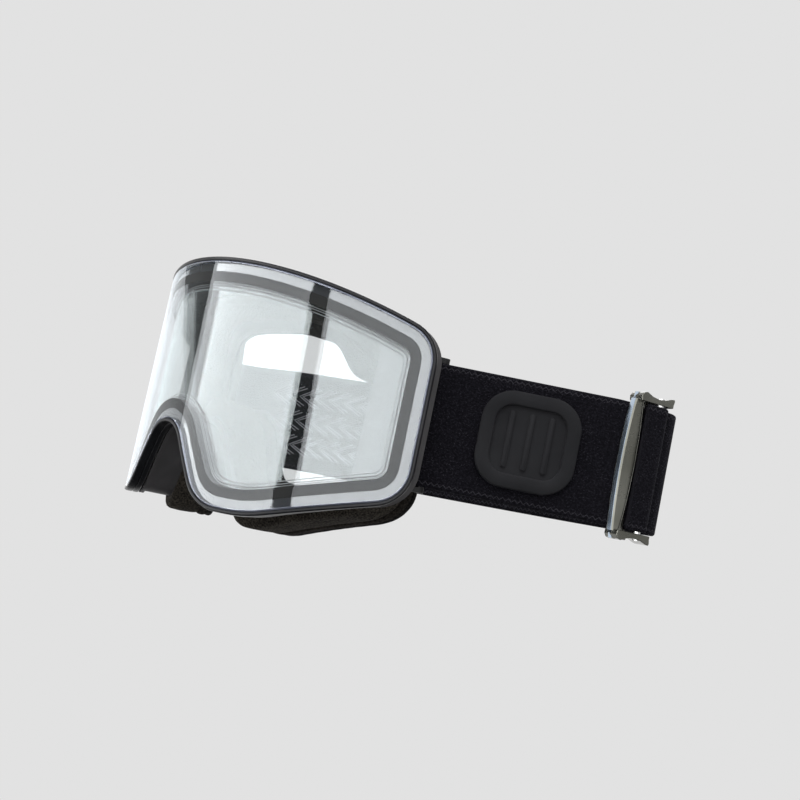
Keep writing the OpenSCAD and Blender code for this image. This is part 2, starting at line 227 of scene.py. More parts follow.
def lens_sheet(name, front_loops, back_loops, front_r, back_r, spacing=3.0):
    """A clear sheet: loops (outline, radius) from the edge inwards on each side, then a filled middle."""
    verts, faces, kinds = [], [], []
    n = len(front_loops[0][0])

    def add(points, r):
        start = len(verts)
        verts.extend(on_lens(points, r))
        return start
    chain = []
    for outline, r in back_loops[::-1]:
        chain.append(add(outline, r))
    for outline, r in front_loops:
        chain.append(add(outline, r))
    for k in range(len(chain) - 1):
        a, b = chain[k], chain[k + 1]
        for i in range(n):
            faces.append((a + i, b + i, b + (i + 1) % n, a + (i + 1) % n))
            kinds.append(0)
    for start, (outline, r), radius, kind in ((chain[-1], front_loops[-1], front_r, 1),
                                              (chain[0], back_loops[-1], back_r, -1)):
        points, tris = filled(outline, spacing)
        extra = add(points[n:], radius)
        index = [start + i for i in range(n)] + [extra + i for i in range(len(points) - n)]
        for t in tris:
            faces.append(tuple(index[v] for v in t))
            kinds.append(kind)
    obj = new_object(name, verts, faces)
    turned_out(obj)
    mesh = obj.data
    auto = [tuple(c.vector) for c in mesh.corner_normals]
    normals = []
    for poly, kind in zip(mesh.polygons, kinds):
        for li in poly.loop_indices:
            v = mesh.vertices[mesh.loops[li].vertex_index].co
            if kind == 0:
                normals.append(tuple(poly.normal))
                continue
            out = Vector((v.x, v.y - LENS_AXIS_Y * MM, 0)).normalized()
            normals.append(tuple(out * (1 if poly.normal.dot(out) > 0 else -1)))
    mesh.normals_split_custom_set(normals)
    return obj


def band_loops(section, half=LENS_HALF):
    """Loops for a section of (distance out, radius) pairs that runs round the lens's edge."""
    return [on_lens(ring(half, d), r) for d, r in section]


def tubes(name, lines, radius, level, sides=6):
    """Round tubes along several lines of points, in one object; level is a direction no line runs along."""
    verts, faces = [], []
    for line in lines:
        points = np.asarray(line, float)
        first = len(verts)
        for p, t in zip(points, np.gradient(points, axis=0)):
            across = unit(np.cross(unit(t), level))
            over = np.cross(across, unit(t))
            for k in range(sides):
                a = 2 * math.pi * k / sides
                verts.append(p + radius * (math.cos(a) * across + math.sin(a) * over))
        for i in range(len(points) - 1):
            for k in range(sides):
                a, b = first + i * sides + k, first + i * sides + (k + 1) % sides
                faces.append((a, b, b + sides, a + sides))
        faces.append(tuple(range(first, first + sides))[::-1])
        faces.append(tuple(range(len(verts) - sides, len(verts))))
    return new_object(name, verts, faces)


# ---------------------------------------------------------------- materials
def material(name):
    mat = bpy.data.materials.new(name)
    mat.use_nodes = True
    nodes, links = mat.node_tree.nodes, mat.node_tree.links
    shader = nodes["Principled BSDF"]
    return mat, nodes, links, shader


def coordinates(nodes, links, kind="Object", scale=(1, 1, 1)):
    coord = nodes.new("ShaderNodeTexCoord")
    mapping = nodes.new("ShaderNodeMapping")
    mapping.inputs["Scale"].default_value = scale
    links.new(coord.outputs[kind], mapping.inputs["Vector"])
    return mapping.outputs["Vector"]


def noise(nodes, links, vector, scale, detail=2.0, rough=0.5):
    node = nodes.new("ShaderNodeTexNoise")
    node.inputs["Scale"].default_value = scale
    node.inputs["Detail"].default_value = detail
    node.inputs["Roughness"].default_value = rough
    links.new(vector, node.inputs["Vector"])
    return node.outputs["Fac"]


def ramp(nodes, links, value, stops):
    node = nodes.new("ShaderNodeValToRGB")
    while len(node.color_ramp.elements) < len(stops):
        node.color_ramp.elements.new(0.5)
    for element, (at, colour) in zip(node.color_ramp.elements, stops):
        element.position = at
        element.color = (*colour, 1)
    links.new(value, node.inputs["Fac"])
    return node.outputs["Color"]


def span(nodes, links, value, low, high):
    node = nodes.new("ShaderNodeMapRange")
    node.inputs["To Min"].default_value = low
    node.inputs["To Max"].default_value = high
    links.new(value, node.inputs["Value"])
    return node.outputs["Result"]


def bump(nodes, links, height, distance, strength=1.0, normal=None):
    node = nodes.new("ShaderNodeBump")
    node.inputs["Distance"].default_value = distance
    node.inputs["Strength"].default_value = strength
    links.new(height, node.inputs["Height"])
    if normal is not None:
        links.new(normal, node.inputs["Normal"])
    return node.outputs["Normal"]


def math_node(nodes, links, operation, a, b=None, c=None):
    node = nodes.new("ShaderNodeMath")
    node.operation = operation
    for socket, value in zip(node.inputs, (a, b, c)):
        if value is None:
            continue
        if isinstance(value, (int, float)):
            socket.default_value = value
        else:
            links.new(value, socket)
    return node.outputs[0]


def plastic(name, dark, light, rough=(0.35, 0.5), grain=0.00004, grain_scale=2500, metallic=0.0, coat=0.0,
            shine=0.16):
    """Moulded plastic: fine grain, slight colour and gloss variation."""
    mat, nodes, links, shader = material(name)
    vector = coordinates(nodes, links)
    broad = noise(nodes, links, vector, 60, 3)
    links.new(ramp(nodes, links, broad, [(0.35, dark), (0.7, light)]), shader.inputs["Base Color"])
    links.new(span(nodes, links, noise(nodes, links, vector, 180, 4), *rough), shader.inputs["Roughness"])
    if grain:
        fine = noise(nodes, links, vector, grain_scale, 2)
        links.new(bump(nodes, links, fine, grain, 0.6), shader.inputs["Normal"])
    shader.inputs["Metallic"].default_value = metallic
    shader.inputs["Specular IOR Level"].default_value = shine
    shader.inputs["Coat Weight"].default_value = coat
    shader.inputs["Coat Roughness"].default_value = 0.15
    return mat


def clear_lens(name, tint, base_reflection, gloss_tint=(1, 1, 1), facing_power=5.0):
    """Clear polycarbonate: see-through with a glossy face that reflects more at a slant."""
    mat, nodes, links, shader = material(name)
    nodes.remove(shader)
    output = nodes["Material Output"]
    clear = nodes.new("ShaderNodeBsdfTransparent")
    clear.inputs["Color"].default_value = (*tint, 1)
    gloss = nodes.new("ShaderNodeBsdfGlossy")
    gloss.inputs["Roughness"].default_value = 0.0
    gloss.inputs["Color"].default_value = (*gloss_tint, 1)
    facing = nodes.new("ShaderNodeLayerWeight")
    facing.inputs["Blend"].default_value = 0.5
    slant = math_node(nodes, links, "POWER", facing.outputs["Facing"], facing_power)
    amount = math_node(nodes, links, "MULTIPLY_ADD", slant, 1 - base_reflection, base_reflection)
    clamp = math_node(nodes, links, "MINIMUM", amount, 0.97)
    mix = nodes.new("ShaderNodeMixShader")
    links.new(clamp, mix.inputs["Fac"])
    links.new(clear.outputs[0], mix.inputs[1])
    links.new(gloss.outputs[0], mix.inputs[2])
    links.new(mix.outputs[0], output.inputs["Surface"])
    return mat


def fuzzy(name, dark, light, cell=900, depth=0.00035, sheen=0.3, speck=1500, tone=(0.4, 0.75)):
    """Open foam or brushed fabric: cells, specks and a soft sheen."""
    mat, nodes, links, shader = material(name)
    vector = coordinates(nodes, links)
    cells = nodes.new("ShaderNodeTexVoronoi")
    cells.inputs["Scale"].default_value = cell
    links.new(vector, cells.inputs["Vector"])
    specks = noise(nodes, links, vector, speck, 2, 0.7)
    broad = noise(nodes, links, vector, 90, 3)
    mixed = math_node(nodes, links, "MULTIPLY_ADD", broad, 0.25, math_node(nodes, links, "MULTIPLY", specks, 0.85))
    links.new(ramp(nodes, links, mixed, [(tone[0], dark), (tone[1], light)]), shader.inputs["Base Color"])
    height = math_node(nodes, links, "ADD", cells.outputs["Distance"], specks)
    links.new(bump(nodes, links, height, depth, 0.8), shader.inputs["Normal"])
    shader.inputs["Roughness"].default_value = 0.95
    shader.inputs["Sheen Weight"].default_value = sheen
    shader.inputs["Sheen Roughness"].default_value = 0.6
    shader.inputs["Sheen Tint"].default_value = (0.6, 0.6, 0.62, 1)
    shader.inputs["Specular IOR Level"].default_value = 0.04
    return mat


INNER_FACE_V = 60.0      # where the strap's inner face lies in its texture coordinates; the outer face is at 0
STITCH_FROM, STITCH_RISE, STITCH_PITCH, THREAD = 19.9, 0.95, 1.05, 0.2


def selvedge_stitch(nodes, links, vector):
    """A zigzag thread along both edges of the webbing, as a mask; vector is (along, across) in millimetres."""
    split = nodes.new("ShaderNodeSeparateXYZ")
    links.new(vector, split.inputs[0])
    along, across, _ = split.outputs
    inner_face = math_node(nodes, links, "GREATER_THAN", across, 35)
    height = math_node(nodes, links, "ABSOLUTE", math_node(
        nodes, links, "MULTIPLY_ADD", inner_face, -INNER_FACE_V, across))
    zigzag = math_node(nodes, links, "PINGPONG", along, STITCH_PITCH)
    centre = math_node(nodes, links, "MULTIPLY_ADD", zigzag, STITCH_RISE, STITCH_FROM)
    away = math_node(nodes, links, "ABSOLUTE", math_node(nodes, links, "SUBTRACT", height, centre))
    return math_node(nodes, links, "LESS_THAN", away, THREAD)


def webbing(name):
    """Knitted elastic webbing: diagonal stitches in columns, with dark and blue-grey threads."""
    mat, nodes, links, shader = material(name)
    vector = coordinates(nodes, links, "UV", (1000, 1000, 1000))
    turned = nodes.new("ShaderNodeMapping")
    turned.inputs["Rotation"].default_value = (0, 0, math.radians(-32))
    turned.inputs["Scale"].default_value = (1.0, 2.1, 1)
    links.new(vector, turned.inputs["Vector"])
    stitch = nodes.new("ShaderNodeTexVoronoi")
    stitch.inputs["Scale"].default_value = 1.25
    stitch.inputs["Randomness"].default_value = 0.75
    links.new(turned.outputs["Vector"], stitch.inputs["Vector"])
    fluff = noise(nodes, links, vector, 1.5, 3, 0.8)
    broad = noise(nodes, links, vector, 0.12, 3)
    height = math_node(nodes, links, "MULTIPLY_ADD", stitch.outputs["Distance"], -0.9, fluff)
    tone = math_node(nodes, links, "MULTIPLY_ADD", broad, 0.12, math_node(
        nodes, links, "MULTIPLY_ADD", stitch.outputs["Distance"], -0.35, fluff))
    colour = ramp(nodes, links, tone, [(0.3, (0.002, 0.0018, 0.003)), (0.45, (0.009, 0.0085, 0.012)),
                                       (0.55, (0.02, 0.019, 0.025)), (0.7, (0.07, 0.068, 0.078))])
    seam = selvedge_stitch(nodes, links, vector)
    sewn = nodes.new("ShaderNodeMix")
    sewn.data_type = "RGBA"
    links.new(math_node(nodes, links, "MULTIPLY", seam, fluff), sewn.inputs["Factor"])
    links.new(colour, sewn.inputs["A"])
    sewn.inputs["B"].default_value = (0.07, 0.068, 0.08, 1)
    links.new(sewn.outputs["Result"], shader.inputs["Base Color"])
    height = math_node(nodes, links, "MULTIPLY_ADD", seam, 0.8, height)
    links.new(bump(nodes, links, height, 0.0003, 0.9), shader.inputs["Normal"])
    shader.inputs["Roughness"].default_value = 0.9
    shader.inputs["Sheen Weight"].default_value = 0.03
    shader.inputs["Sheen Tint"].default_value = (0.6, 0.6, 0.75, 1)
    shader.inputs["Specular IOR Level"].default_value = 0.06
    return mat


MAT = {
    "lens": clear_lens("clear_lens", (0.97, 0.98, 0.985), 0.029, (0.93, 0.97, 1.0)),
    "inner": clear_lens("inner_clear_lens", (0.975, 0.98, 0.98), 0.05, (0.95, 1.0, 0.99)),
    # Light blue-grey on the lens's bevel band: a painted highlight along the clear edge; its gloss and coat are real
    "lens_edge_highlight": plastic("lens_edge_highlight", (0.30, 0.33, 0.42), (0.42, 0.45, 0.55), (0.05, 0.12), 0.00001, 800, 0.2, 1.0),
    # Light grey on thin bands along the inner lens's ridge: painted highlights on clear plastic
    "ridge": plastic("inner_lens_ridge_highlight", (0.34, 0.36, 0.37), (0.46, 0.48, 0.49), (0.05, 0.12), 0.00001, 800,
                     0.1, 1.0),
    "gasket": plastic("gasket_foam", (0.019, 0.019, 0.019), (0.03, 0.03, 0.029), (0.75, 0.9), 0.000004, 1400),
    # Lighter grey than the carrier plastic it covers: a painted reflection of the softbox on the carrier's face; its
    # gloss is real
    "margin": plastic("carrier_margin_highlight", (0.06, 0.062, 0.067), (0.075, 0.078, 0.083), (0.04, 0.05), 0,
                      shine=0.9),
    "carrier": plastic("carrier_plastic", (0.006, 0.0065, 0.008), (0.011, 0.0115, 0.014), (0.28, 0.4), 0.00002, 3000),
    "frame": plastic("frame_tpu", (0.07, 0.068, 0.071), (0.1, 0.098, 0.102), (0.45, 0.6), 0.00005, 2200),
    "vent": fuzzy("vent_foam", (0.01, 0.01, 0.01), (0.06, 0.06, 0.06), 500, 0.0006, 0.1),
    "foam": fuzzy("face_foam", (0.004, 0.0038, 0.0034), (0.11, 0.097, 0.08), 900, 0.0004, 0.05),
    "dense": fuzzy("face_foam_dense", (0.003, 0.0028, 0.0026), (0.06, 0.052, 0.044), 1300, 0.0003, 0.05),
    "fleece": fuzzy("fleece", (0.003, 0.0028, 0.0027), (0.04, 0.037, 0.034), 1100, 0.0004, 0.15),
    "pin": plastic("pin_steel", (0.5, 0.5, 0.5), (0.6, 0.6, 0.6), (0.2, 0.35), 0.00001, 3000, 1.0),
    "ring": plastic("ring_plastic", (0.014, 0.014, 0.015), (0.022, 0.022, 0.023), (0.35, 0.5)),
    "webbing": webbing("webbing"),
    "silicone": plastic("silicone", (0.22, 0.22, 0.24), (0.32, 0.32, 0.35), (0.15, 0.25), 0.00003, 1500, 0, 0.5),
    "badge": plastic("badge_rubber", (0.022, 0.0222, 0.0245), (0.029, 0.0294, 0.032), (0.6, 0.75), 0.00004, 2600,
                     shine=0.03),
    # Lighter blue-grey metal on a strip along the buckle bar's left bevel: a painted highlight
    "chamfer": plastic("buckle_chamfer_highlight", (0.075, 0.095, 0.12), (0.11, 0.135, 0.165), (0.15, 0.25), 0.00001, 3000,
                       0.8, 0.5),
    # Near-black strip in the notch along the buckle ridge: painted shade in the groove
    "groove": plastic("buckle_groove_shade", (0.01, 0.011, 0.014), (0.016, 0.017, 0.02), (0.3, 0.45), 0.00001, 3000,
                      0.4),
    "buckle": plastic("buckle_plastic", (0.085, 0.085, 0.072), (0.12, 0.12, 0.105), (0.22, 0.34), 0.00001, 3000,
                      0.8, 0.3),
}


def dress(obj, mat):
    obj.data.materials.clear()
    obj.data.materials.append(MAT[mat])
    return obj


def piece(obj, mat, body, slot, *nodes):
    dress(obj, mat)
    if nodes:
        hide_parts(*nodes)
    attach(obj, body)
    return obj


# ---------------------------------------------------------------- lens unit
def make_lens_unit():
    r = LENS_R
    edge = [(ring(LENS_HALF, -0.1), r - 0.45), (ring(LENS_HALF, -0.55), r - 0.02)]
    back = [(ring(LENS_HALF, -0.1), r - LENS_T)]
    outer = lens_sheet("outer_lens_sheet", edge, back, r - 0.02, r - LENS_T)
    piece(outer, "lens", "lens_unit", "clear_lens", "outer_lens")
    # The bevel band round the outer lens is real geometry with real gloss; its light blue-grey colour is a painted
    # highlight along the edge.
    bevel = [(-0.02, r - 1.3), (-0.02, r - 0.42), (-0.5, r + 0.02), (-0.62, r), (-0.12, r - 0.5), (-0.12, r - 1.3)]
    painted_edge_highlight = turned_out(loft("outer_lens_edge", band_loops(bevel)))
    piece(sharpen(painted_edge_highlight, 30), "lens_edge_highlight", "lens_unit", "clear_lens")

    ri = r - LENS_T - LENS_GAP
    ridge = [(-4, 0), (-8.8, 0), (-9.0, 0.4), (-9.2, 0.6), (-10.0, 0.6), (-10.2, 0.4), (-10.4, 0)]
    front = [(ring(LENS_HALF, d), ri + up) for d, up in ridge]
    rear = [(ring(LENS_HALF, d), ri - INNER_LENS_T + up) for d, up in ridge]
    inner = lens_sheet("inner_lens_sheet", front, rear, ri, ri - INNER_LENS_T)
    piece(inner, "inner", "lens_unit", "inner_clear_lens", "inner_lens")
    # Three thin light grey bands laid along the inner lens's ridge: painted highlights, not part of the clear lens.
    for number, d in enumerate((-8.35, -9.1, -10.1)):
        line = [(d, ri + 0.62), (d - 0.16, ri + 0.72), (d - 0.32, ri + 0.62), (d - 0.16, ri + 0.5)]
        glint = turned_out(loft("inner_lens_ridge_%d" % number, band_loops(line)))
        piece(glint, "ridge", "lens_unit", "inner_clear_lens")

    section = [(-4.0, r - 1.3), (-7.8, r - 1.3), (-7.95, r - 2.4), (-7.8, r - 3.4), (-7.95, r - 4.4),
               (-7.8, r - 4.6), (-4.0, r - 4.6), (-3.9, r - 3.0)]
    gasket = turned_out(loft("gasket_band", band_loops(section)))
    sharpen(gasket)
    piece(gasket, "gasket", "lens_unit", "gasket_foam", "lens_gasket")

    lip = [(0.05, r - 1.4), (0.05, r - 0.5), (0.15, r - 0.1), (0.4, r + 0.1), (0.9, r + 0.15), (1.3, r - 0.1),
           (1.5, r - 0.7), (1.5, r - 2.6), (1.2, r - 2.8), (1.2, r - 3.1), (1.5, r - 3.3), (1.5, r - 4.7),
           (1.35, r - 5.1), (1.1, r - 5.3), (-3.9, r - 5.4), (-3.9, r - 1.7), (0.0, r - 1.6)]
    carrier = turned_out(loft("lens_carrier_lip", band_loops(lip)))
    sharpen(carrier, 50)
    piece(carrier, "carrier", "lens_unit", "carrier_plastic", "lens_carrier")
    # A thin sheet on the carrier's front face behind the lens margin, lighter than the carrier: painted softbox
    # reflection, with real gloss.
    face = [(-3.95, r - 1.45), (-0.15, r - 1.45), (-0.15, r - 1.6), (-3.95, r - 1.6)]
    margin = turned_out(loft("carrier_margin_highlight", band_loops(face)))
    piece(sharpen(margin), "margin", "lens_unit", "carrier_plastic")


# ---------------------------------------------------------------- frame and foam
FOAM_WOBBLE = 0.24


def foam_layer(name, front, rear, openings, bulge, rounding, mat, slot, node):
    """A ring of foam between two face surfaces: its sides bulge, and its rear edges are rounded."""
    y0f, rf = front
    y0r, rr = rear
    loops = []
    open_front, open_rear = openings

    def at(depth, outline):
        a, b = on_face(outline, y0f, rf), on_face(outline, y0r, rr)
        return a + depth * (b - a)

    def opening(depth, d):
        half = [tuple(np.array(a) * (1 - depth) + np.array(b) * depth) for a, b in zip(open_front, open_rear)]
        return ring(half, d, EYE_ANCHORS)

    def swell(depth):
        return bulge * math.sin(math.pi * depth) - rounding * max(0, depth - 0.6) ** 2 * 6
    side = (0.02, 0.2, 0.45, 0.7, 0.88, 1.0)
    for depth in side:
        loops.append(at(depth, ring(FOAM_HALF, swell(depth))))
    outer, inner = ring(FOAM_HALF, -rounding), opening(1, rounding)
    for t in (0.08, 0.3, 0.5, 0.7, 0.92):
        crown = 1.0 + (0.12 if rounding > 0.5 else 0.0) * math.sin(math.pi * t)
        loops.append(at(crown, outer + t * (inner - outer)))
    for depth in reversed(side):
        loops.append(at(depth, opening(depth, -swell(depth))))
    outer, inner = ring(FOAM_HALF), opening(0, 0)
    for t in (0.8, 0.5, 0.2):
        loops.append(at(0.0, outer + t * (inner - outer)))
    obj = turned_out(loft(name, loops))
    sub = obj.modifiers.new("smooth", "SUBSURF")
    sub.levels = sub.render_levels = 1
    texture = bpy.data.textures.new(name + "_lumps", "CLOUDS")
    texture.noise_scale = 0.004
    lumps = obj.modifiers.new("lumps", "DISPLACE")
    lumps.texture = texture
    lumps.texture_coords = "LOCAL"
    lumps.strength = FOAM_WOBBLE * MM
    lumps.mid_level = 0.5
    piece(obj, mat, "goggle_frame", slot, node)
    return obj


def make_face_foam():
    wide = BASE_EYE_HALF
    middle = grown(mirrored(EYE_HALF), 1.5)[:len(EYE_HALF)]
    halfway = [tuple(0.5 * (np.array(a) + np.array(b))) for a, b in zip(wide, middle)]
    surfaces = [(FRAME_Y, 113), (BASE_Y, 114), (MIDDLE_Y, 116), (FACE_Y, 117)]
    foam_layer("foam_base_layer", surfaces[0], surfaces[1], (wide, halfway), 0.3, 0.2, "foam", "face_foam",
               "face_foam_base")
    foam_layer("foam_middle_layer", surfaces[1], surfaces[2], (middle, EYE_HALF), 0.3, 0.2, "dense",
               "face_foam_dense", "face_foam_middle")
    foam_layer("face_fleece_layer", surfaces[2], surfaces[3], (EYE_HALF, EYE_HALF), 0.2, 0.9, "fleece",
               "fleece", "face_fleece")


# ---------------------------------------------------------------- strap route, in plan
BAR_R = 1.6
LOOP_R = BAR_R + STRAP_T / 2 + 0.1


def heading(degrees):
    a = math.radians(degrees)
    return np.array([math.cos(a), math.sin(a)])


def outside(degrees):
    a = math.radians(degrees)
    return np.array([math.sin(a), -math.cos(a)])


# Headings of the strap's straight runs, and the radii of the bends between them
STRAND, BUCKLE, FOLD = 51, 80, 187
BEND_R, FOLD_R = 10, 7
STRAND_RUN, BUCKLE_RUN, FOLD_RUN = 61, 8, 17
BAR_LEFT, BAR_RIGHT = np.array([83.5, -7.5]), np.array([-79, -7.1])
STRAND_START = BAR_LEFT + LOOP_R * outside(STRAND)
BEND_START = STRAND_START + STRAND_RUN * heading(STRAND)
BEND_CENTRE = BEND_START - BEND_R * outside(STRAND)
BUCKLE_START = BEND_CENTRE + BEND_R * outside(BUCKLE)
BUCKLE_MID = BUCKLE_START + BUCKLE_RUN * heading(BUCKLE)
FOLD_START = BUCKLE_START + FOLD_RUN * heading(BUCKLE)
FOLD_CENTRE = FOLD_START - FOLD_R * outside(BUCKLE)
FOLD_END = FOLD_CENTRE + FOLD_R * outside(FOLD)
TAIL_BAR = (2.4, 4.4)
BACK_ROUTE = [(-81.4, -6.3), (-79.6, 0.2), (-74.5, 5.2), (-66, 8), (-52, 12.4), (-39, 18.6),
              (-8, 35.4), (30, 51.6), (70, 62.6), (100, 66.8), tuple(FOLD_END)]
CURVE_STEPS = 6
# Points of that route where the right ring's own length ends, where its badge sits and where the print runs
RING_SPLIT, BADGE_AT, PRINT_FROM, PRINT_TO = 40, 39, 20, 47
TAIL_REACH = 27          # how far the turned-back end at the left ring lies along the strand


def arc(centre, r, a0, a1, steps):
    return [np.asarray(centre) + r * heading(a) for a in np.linspace(a0, a1, steps + 1)]


def curve(points, steps):
    """A smooth curve through the points."""
    p = [np.array(q, float) for q in points]
    out = []
    for i in range(len(p) - 1):
        a, b, c, d = p[max(0, i - 1)], p[i], p[i + 1], p[min(len(p) - 1, i + 2)]
        for k in range(steps):
            t = k / steps
            out.append(0.5 * (2 * b + (c - a) * t + (2 * a - 5 * b + 4 * c - d) * t * t
                              + (3 * b - a - 3 * c + d) * t ** 3))
    return out + [p[-1]]


def even(points, spacing):
    """The same plan route with points at an even spacing."""
    points = np.array(points, float)
    steps = np.linalg.norm(np.diff(points, axis=0), axis=1)
    along = np.concatenate([[0], np.cumsum(steps)])
    at = np.linspace(0, along[-1], max(2, int(round(along[-1] / spacing)) + 1))
    return np.stack([np.interp(at, along, points[:, k]) for k in range(2)], 1)


def plan_normals(path):
    t = np.gradient(path, axis=0)
    t /= np.linalg.norm(t, axis=1)[:, None]
    return np.stack([-t[:, 1], t[:, 0]], 1)


def strap(name, path, thick=STRAP_T, start=0.0, rows=22):
    """Elastic webbing along a plan route, with rounded edges and texture coordinates that follow it."""
    path = np.asarray(path, float)
    normals = plan_normals(path)
    along = start + np.concatenate([[0], np.cumsum(np.linalg.norm(np.diff(path, axis=0), axis=1))])
    h, t = STRAP_W / 2, thick / 2
    section, across = [], []
    flat = h - EDGE_R
    side = [-flat + 2 * flat * k / rows for k in range(rows + 1)]
    for w in side:
        section.append((w, t))
    for a in (65, 40, 15, -15, -40, -65):
        section.append((flat + EDGE_R * math.cos(math.radians(a)), t * math.sin(math.radians(a))))
    for w in side[::-1]:
        section.append((w, -t))
    for a in (-115, -140, -165, 165, 140, 115):
        section.append((-flat + EDGE_R * math.cos(math.radians(a)), t * math.sin(math.radians(a))))
    m = len(section)
    verts, uv, faces = [], [], []
    for p, nrm, s in zip(path, normals, along):
        for k, (w, off) in enumerate(section):
            verts.append((p[0] + nrm[0] * off, p[1] + nrm[1] * off, STRAP_Z + w))
            uv.append((s * MM, (w + (0 if off > 0 else INNER_FACE_V)) * MM))
    for i in range(len(path) - 1):
        for k in range(m):
            a, b = i * m + k, i * m + (k + 1) % m
            faces.append((a, b, b + m, a + m))
    faces.append(tuple(range(m)))
    faces.append(tuple(range((len(path) - 1) * m, len(path) * m))[::-1])
    return sharpen(turned_out(new_object(name, verts, faces, uv=uv)), 60)


def make_strap():
    back = curve(BACK_ROUTE, CURVE_STEPS)
    tail_start = BAR_LEFT - LOOP_R * outside(STRAND)
    tail_end = STRAND_START + TAIL_REACH * heading(STRAND) - (STRAP_T + 0.15) * outside(STRAND)
    tail = [tail_end, tail_end - 14 * heading(STRAND), tail_start + 6 * heading(STRAND) + 0.6 * outside(STRAND)]
    left = tail + arc(BAR_LEFT, LOOP_R, STRAND - 270, STRAND - 90, 20)
    left += [STRAND_START + 3 * heading(STRAND), BEND_START]
    left += arc(BEND_CENTRE, BEND_R, STRAND - 88, BUCKLE - 90, 6)
    front = strap("strap_front_webbing", even(left, 1.2))
    dress(front, "webbing")
    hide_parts("strap_front", "strap_loop_left")
    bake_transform(front)

    mid = [BUCKLE_START] + arc(FOLD_CENTRE, FOLD_R, BUCKLE - 90, FOLD - 90, 16) + back[:RING_SPLIT - 1:-1]
    middle = strap("strap_back_webbing", even(mid, 1.6), start=100)
    piece(middle, "webbing", "goggle_frame", "webbing", "strap_fold", "strap_back")

    turn = math.degrees(math.atan2(BACK_ROUTE[0][1] - BAR_RIGHT[1], BACK_ROUTE[0][0] - BAR_RIGHT[0]))
    right = back[RING_SPLIT:0:-1] + arc(BAR_RIGHT, LOOP_R, turn, turn + 190, 20) + [BAR_RIGHT + np.array([2.6, 5.2])]
    end = strap("strap_end_webbing", even(right, 1.2), start=300)
    dress(end, "webbing")
    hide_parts("strap_loop_right")
    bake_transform(end)


def buckle_point(s, h):
    return BUCKLE_MID + s * heading(BUCKLE) + h * outside(BUCKLE)


def make_buckle_strap():
    bar, r = buckle_point(*TAIL_BAR), 2.3
    top = TAIL_BAR[1] + r
    path = [buckle_point(-4.4, top), buckle_point(TAIL_BAR[0], top)]
    path += arc(bar, r, BUCKLE - 80, BUCKLE + 82, 14) + [buckle_point(-3, TAIL_BAR[1] - r + 0.1)]
    obj = strap("strap_sewn_tail", even(path, 0.8), thick=1.6, start=200)
    piece(obj, "webbing", "slider", "webbing", "strap_tail")


# ---------------------------------------------------------------- buckle
def capped(obj):
    """Closes the open ends of a loft."""
    bm = bmesh.new()
    bm.from_mesh(obj.data)
    bmesh.ops.holes_fill(bm, edges=[e for e in bm.edges if e.is_boundary], sides=0)
    bmesh.ops.recalc_face_normals(bm, faces=bm.faces)
    bm.to_mesh(obj.data)
    bm.free()
    return obj


def bevelled(obj, width, segments=2, degrees=30):
    """Rounds the edges that are sharper than the angle."""
    mod = obj.modifiers.new("bevel", "BEVEL")
    mod.width = width * MM
    mod.segments = segments
    mod.limit_method = "ANGLE"
    mod.angle_limit = math.radians(degrees)
    mod.harden_normals = True
    return obj


BUCKLE_CLEARANCE, BUCKLE_END_H = 0.7, 3.4


def from_buckle(s, h, z):
    p = buckle_point(s, h)
    return (p[0], p[1], z + STRAP_Z)


